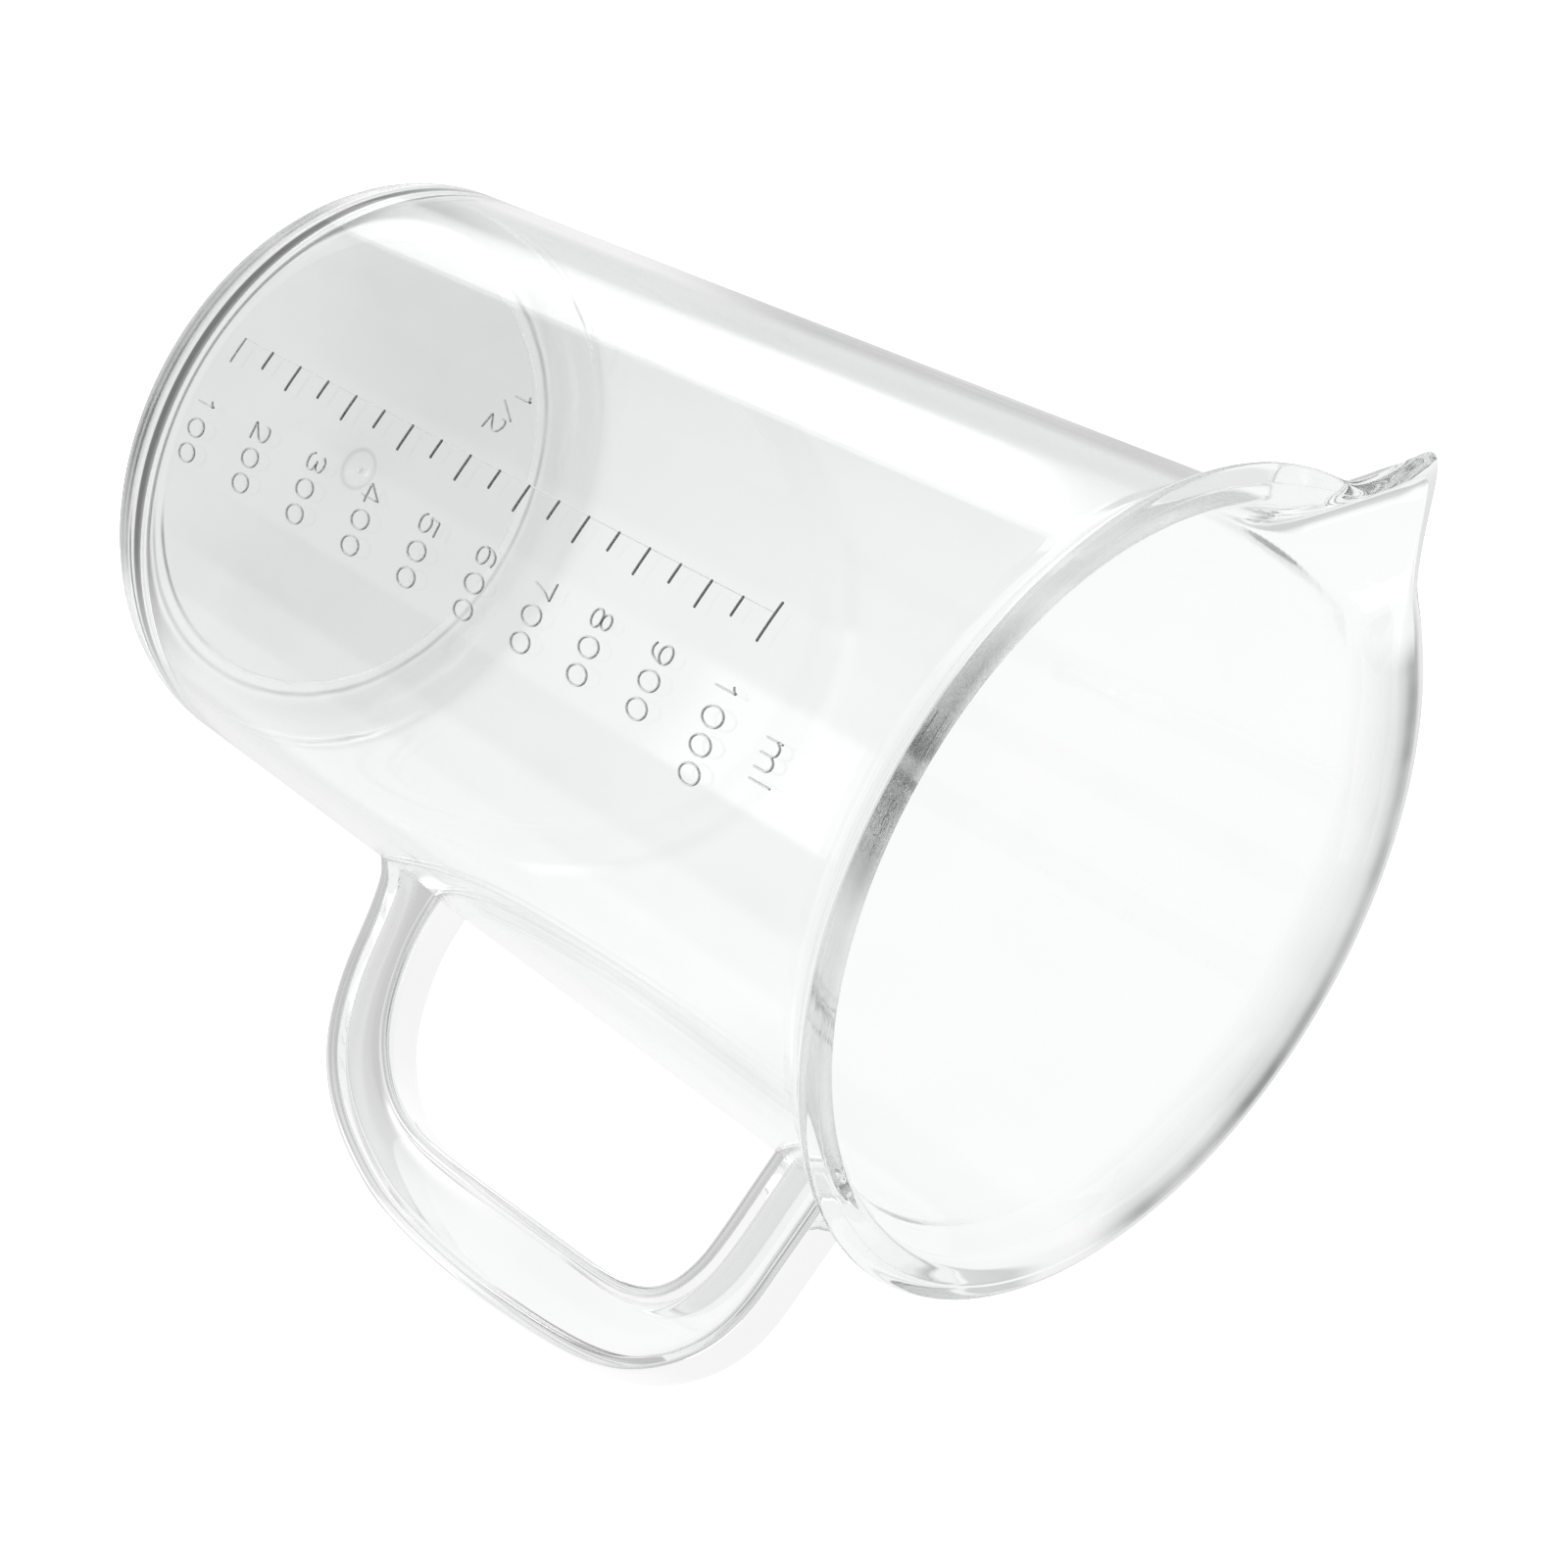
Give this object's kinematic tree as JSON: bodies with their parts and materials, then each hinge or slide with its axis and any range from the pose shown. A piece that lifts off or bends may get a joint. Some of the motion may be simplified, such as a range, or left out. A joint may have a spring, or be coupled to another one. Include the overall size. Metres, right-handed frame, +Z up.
{
  "type": "measuring jug",
  "caption": "Clear tapered measuring jug with an out-turned rim, V-shaped pouring beak, I-section loop handle and a raised millilitre scale on the front.",
  "frame": {"origin": "on the beaker's axis, in the plane that the foot ring stands on", "axes": "+Z up along the beaker's axis, +X towards the handle, -X towards the beak, -Y towards the scale"},
  "size_m": [0.1664, 0.1212, 0.169],
  "materials": {
    "clear_moulding": "clear gloss",
    "scale_relief": "clear gloss"
  },
  "bodies": {
    "root": {"base_floor": "clear_moulding", "foot_ring": "clear_moulding", "barrel_wall": "clear_moulding", "rim_bead": "clear_moulding", "pour_spout": "clear_moulding", "handle_web": "clear_moulding", "handle_outer_flange": "clear_moulding", "handle_inner_flange": "clear_moulding", "scale_spine": "scale_relief", "tick_0100": "scale_relief", "tick_0150": "scale_relief", "tick_0200": "scale_relief", "tick_0250": "scale_relief", "tick_0300": "scale_relief", "tick_0350": "scale_relief", "tick_0400": "scale_relief", "tick_0450": "scale_relief", "tick_0500": "scale_relief", "tick_0550": "scale_relief", "tick_0600": "scale_relief", "tick_0650": "scale_relief", "tick_0700": "scale_relief", "tick_0750": "scale_relief", "tick_0800": "scale_relief", "tick_0850": "scale_relief", "tick_0900": "scale_relief", "tick_0950": "scale_relief", "tick_1000": "scale_relief"}
  },
  "joints": []
}
